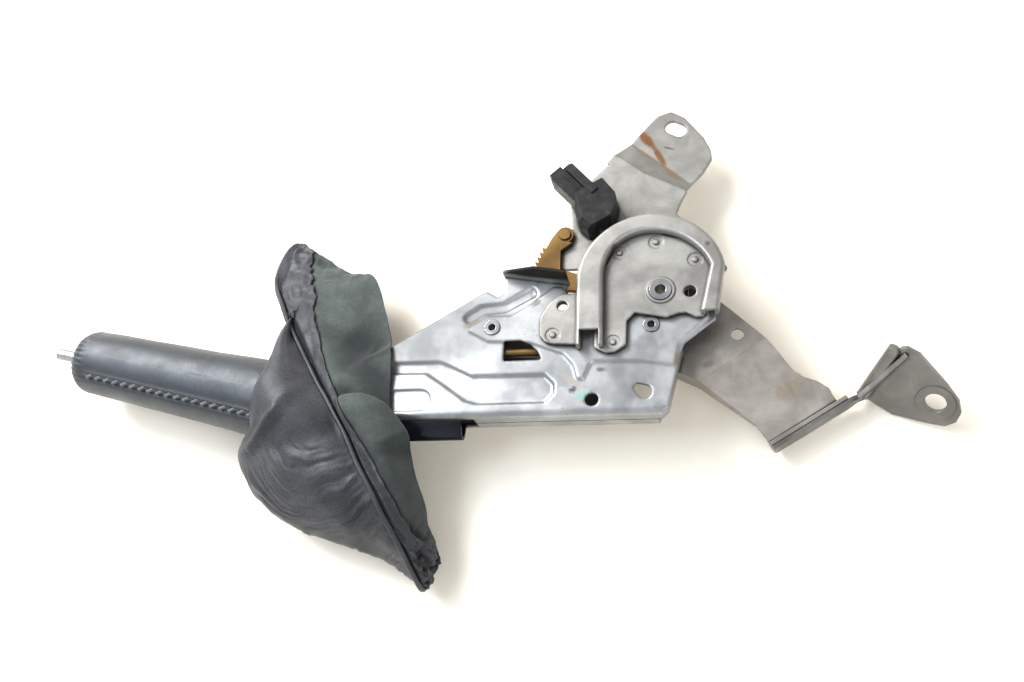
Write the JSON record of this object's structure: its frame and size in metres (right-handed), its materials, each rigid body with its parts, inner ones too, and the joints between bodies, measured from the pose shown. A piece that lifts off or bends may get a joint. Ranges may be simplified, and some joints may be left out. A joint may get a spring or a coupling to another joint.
{
  "type": "hand brake lever",
  "caption": "Hand brake lever with leather grip, release button, pawl and ratchet sector, pressed brackets, warning switch and leather boot.",
  "frame": {"origin": "centre of the hollow lever pivot, in the middle plane of the lever blade", "axes": "+Z along the pivot, square to the blade's side plates and upwards as the lever lies on its side; +X along the blade from the grip towards the fixing foot; +Y up in the car"},
  "size_m": [0.4797, 0.2666, 0.0547],
  "materials": {
    "galvanised_steel": "satin zinc, light bloom and fine specks",
    "bracket_steel": "matt phosphated steel",
    "arm_steel": "dull grey-brown steel",
    "yellow_zinc": "yellow zinc plate",
    "black_steel": "gloss black coat",
    "bright_steel": "bright plated steel",
    "spring_steel": "oiled spring steel",
    "black_plastic": "moulded black plastic",
    "bush_bronze": "sintered bronze",
    "core_plastic": "dark foam plastic",
    "black_leather": "grained black leather",
    "boot_hide": "soft thin black-brown leather",
    "skirt_felt": "grey-green lining cloth"
  },
  "bodies": {
    "bracket": {"front_bracket": "bracket_steel", "rear_bracket": "arm_steel", "foot_bracket": "arm_steel", "ratchet_sector": "yellow_zinc", "sector_rivet": "yellow_zinc", "pivot_tube": "bright_steel", "pivot_washers": "black_plastic", "pivot_spring": "spring_steel", "switch_body": "black_plastic", "switch_terminals": "bush_bronze"},
    "lever": {"lever_front_shell": "galvanised_steel", "lever_rear_shell": "galvanised_steel", "spacer_rivet": "bright_steel", "pawl_rivet": "bright_steel", "pivot_bushes": "bush_bronze", "handle_tube": "black_steel", "grip_core": "core_plastic", "grip_leather": "black_leather", "button_bush": "core_plastic", "spring_stop": "core_plastic", "button_spring": "spring_steel", "boot_leather": "boot_hide", "boot_skirt": "skirt_felt", "boot_piping": "black_leather"},
    "pawl": {"pawl": "yellow_zinc"},
    "release": {"release_rod": "yellow_zinc", "release_button": "bright_steel"},
    "plunger": {"switch_plunger": "black_plastic"}
  },
  "joints": [
    {"name": "lever_pivot", "type": "hinge", "parent": "bracket", "child": "lever", "pos_m": [0, 0, 0], "axis": [0, 0, -1], "range_deg": [0, 24]},
    {"name": "button_slide", "type": "slide", "parent": "lever", "child": "release", "axis": [0.9728, -0.2317, 0], "range_m": [0, 0.004], "stiffness_N_per_m": 1500, "springref_m": -0.004, "deforming": ["button_spring"]},
    {"name": "pawl_pivot", "type": "hinge", "parent": "lever", "child": "pawl", "pos_m": [-0.086, -0.0155, 0.0023], "axis": [0, 0, 1], "range_deg": [0, 17]},
    {"name": "switch_press", "type": "slide", "parent": "bracket", "child": "plunger", "axis": [-0.5, 0.866, 0], "range_m": [0, 0.002], "stiffness_N_per_m": 300, "springref_m": -0.002}
  ],
  "couplings": [
    {"joint": "pawl_pivot", "follows": "button_slide", "rad_per_m": 71.122}
  ]
}
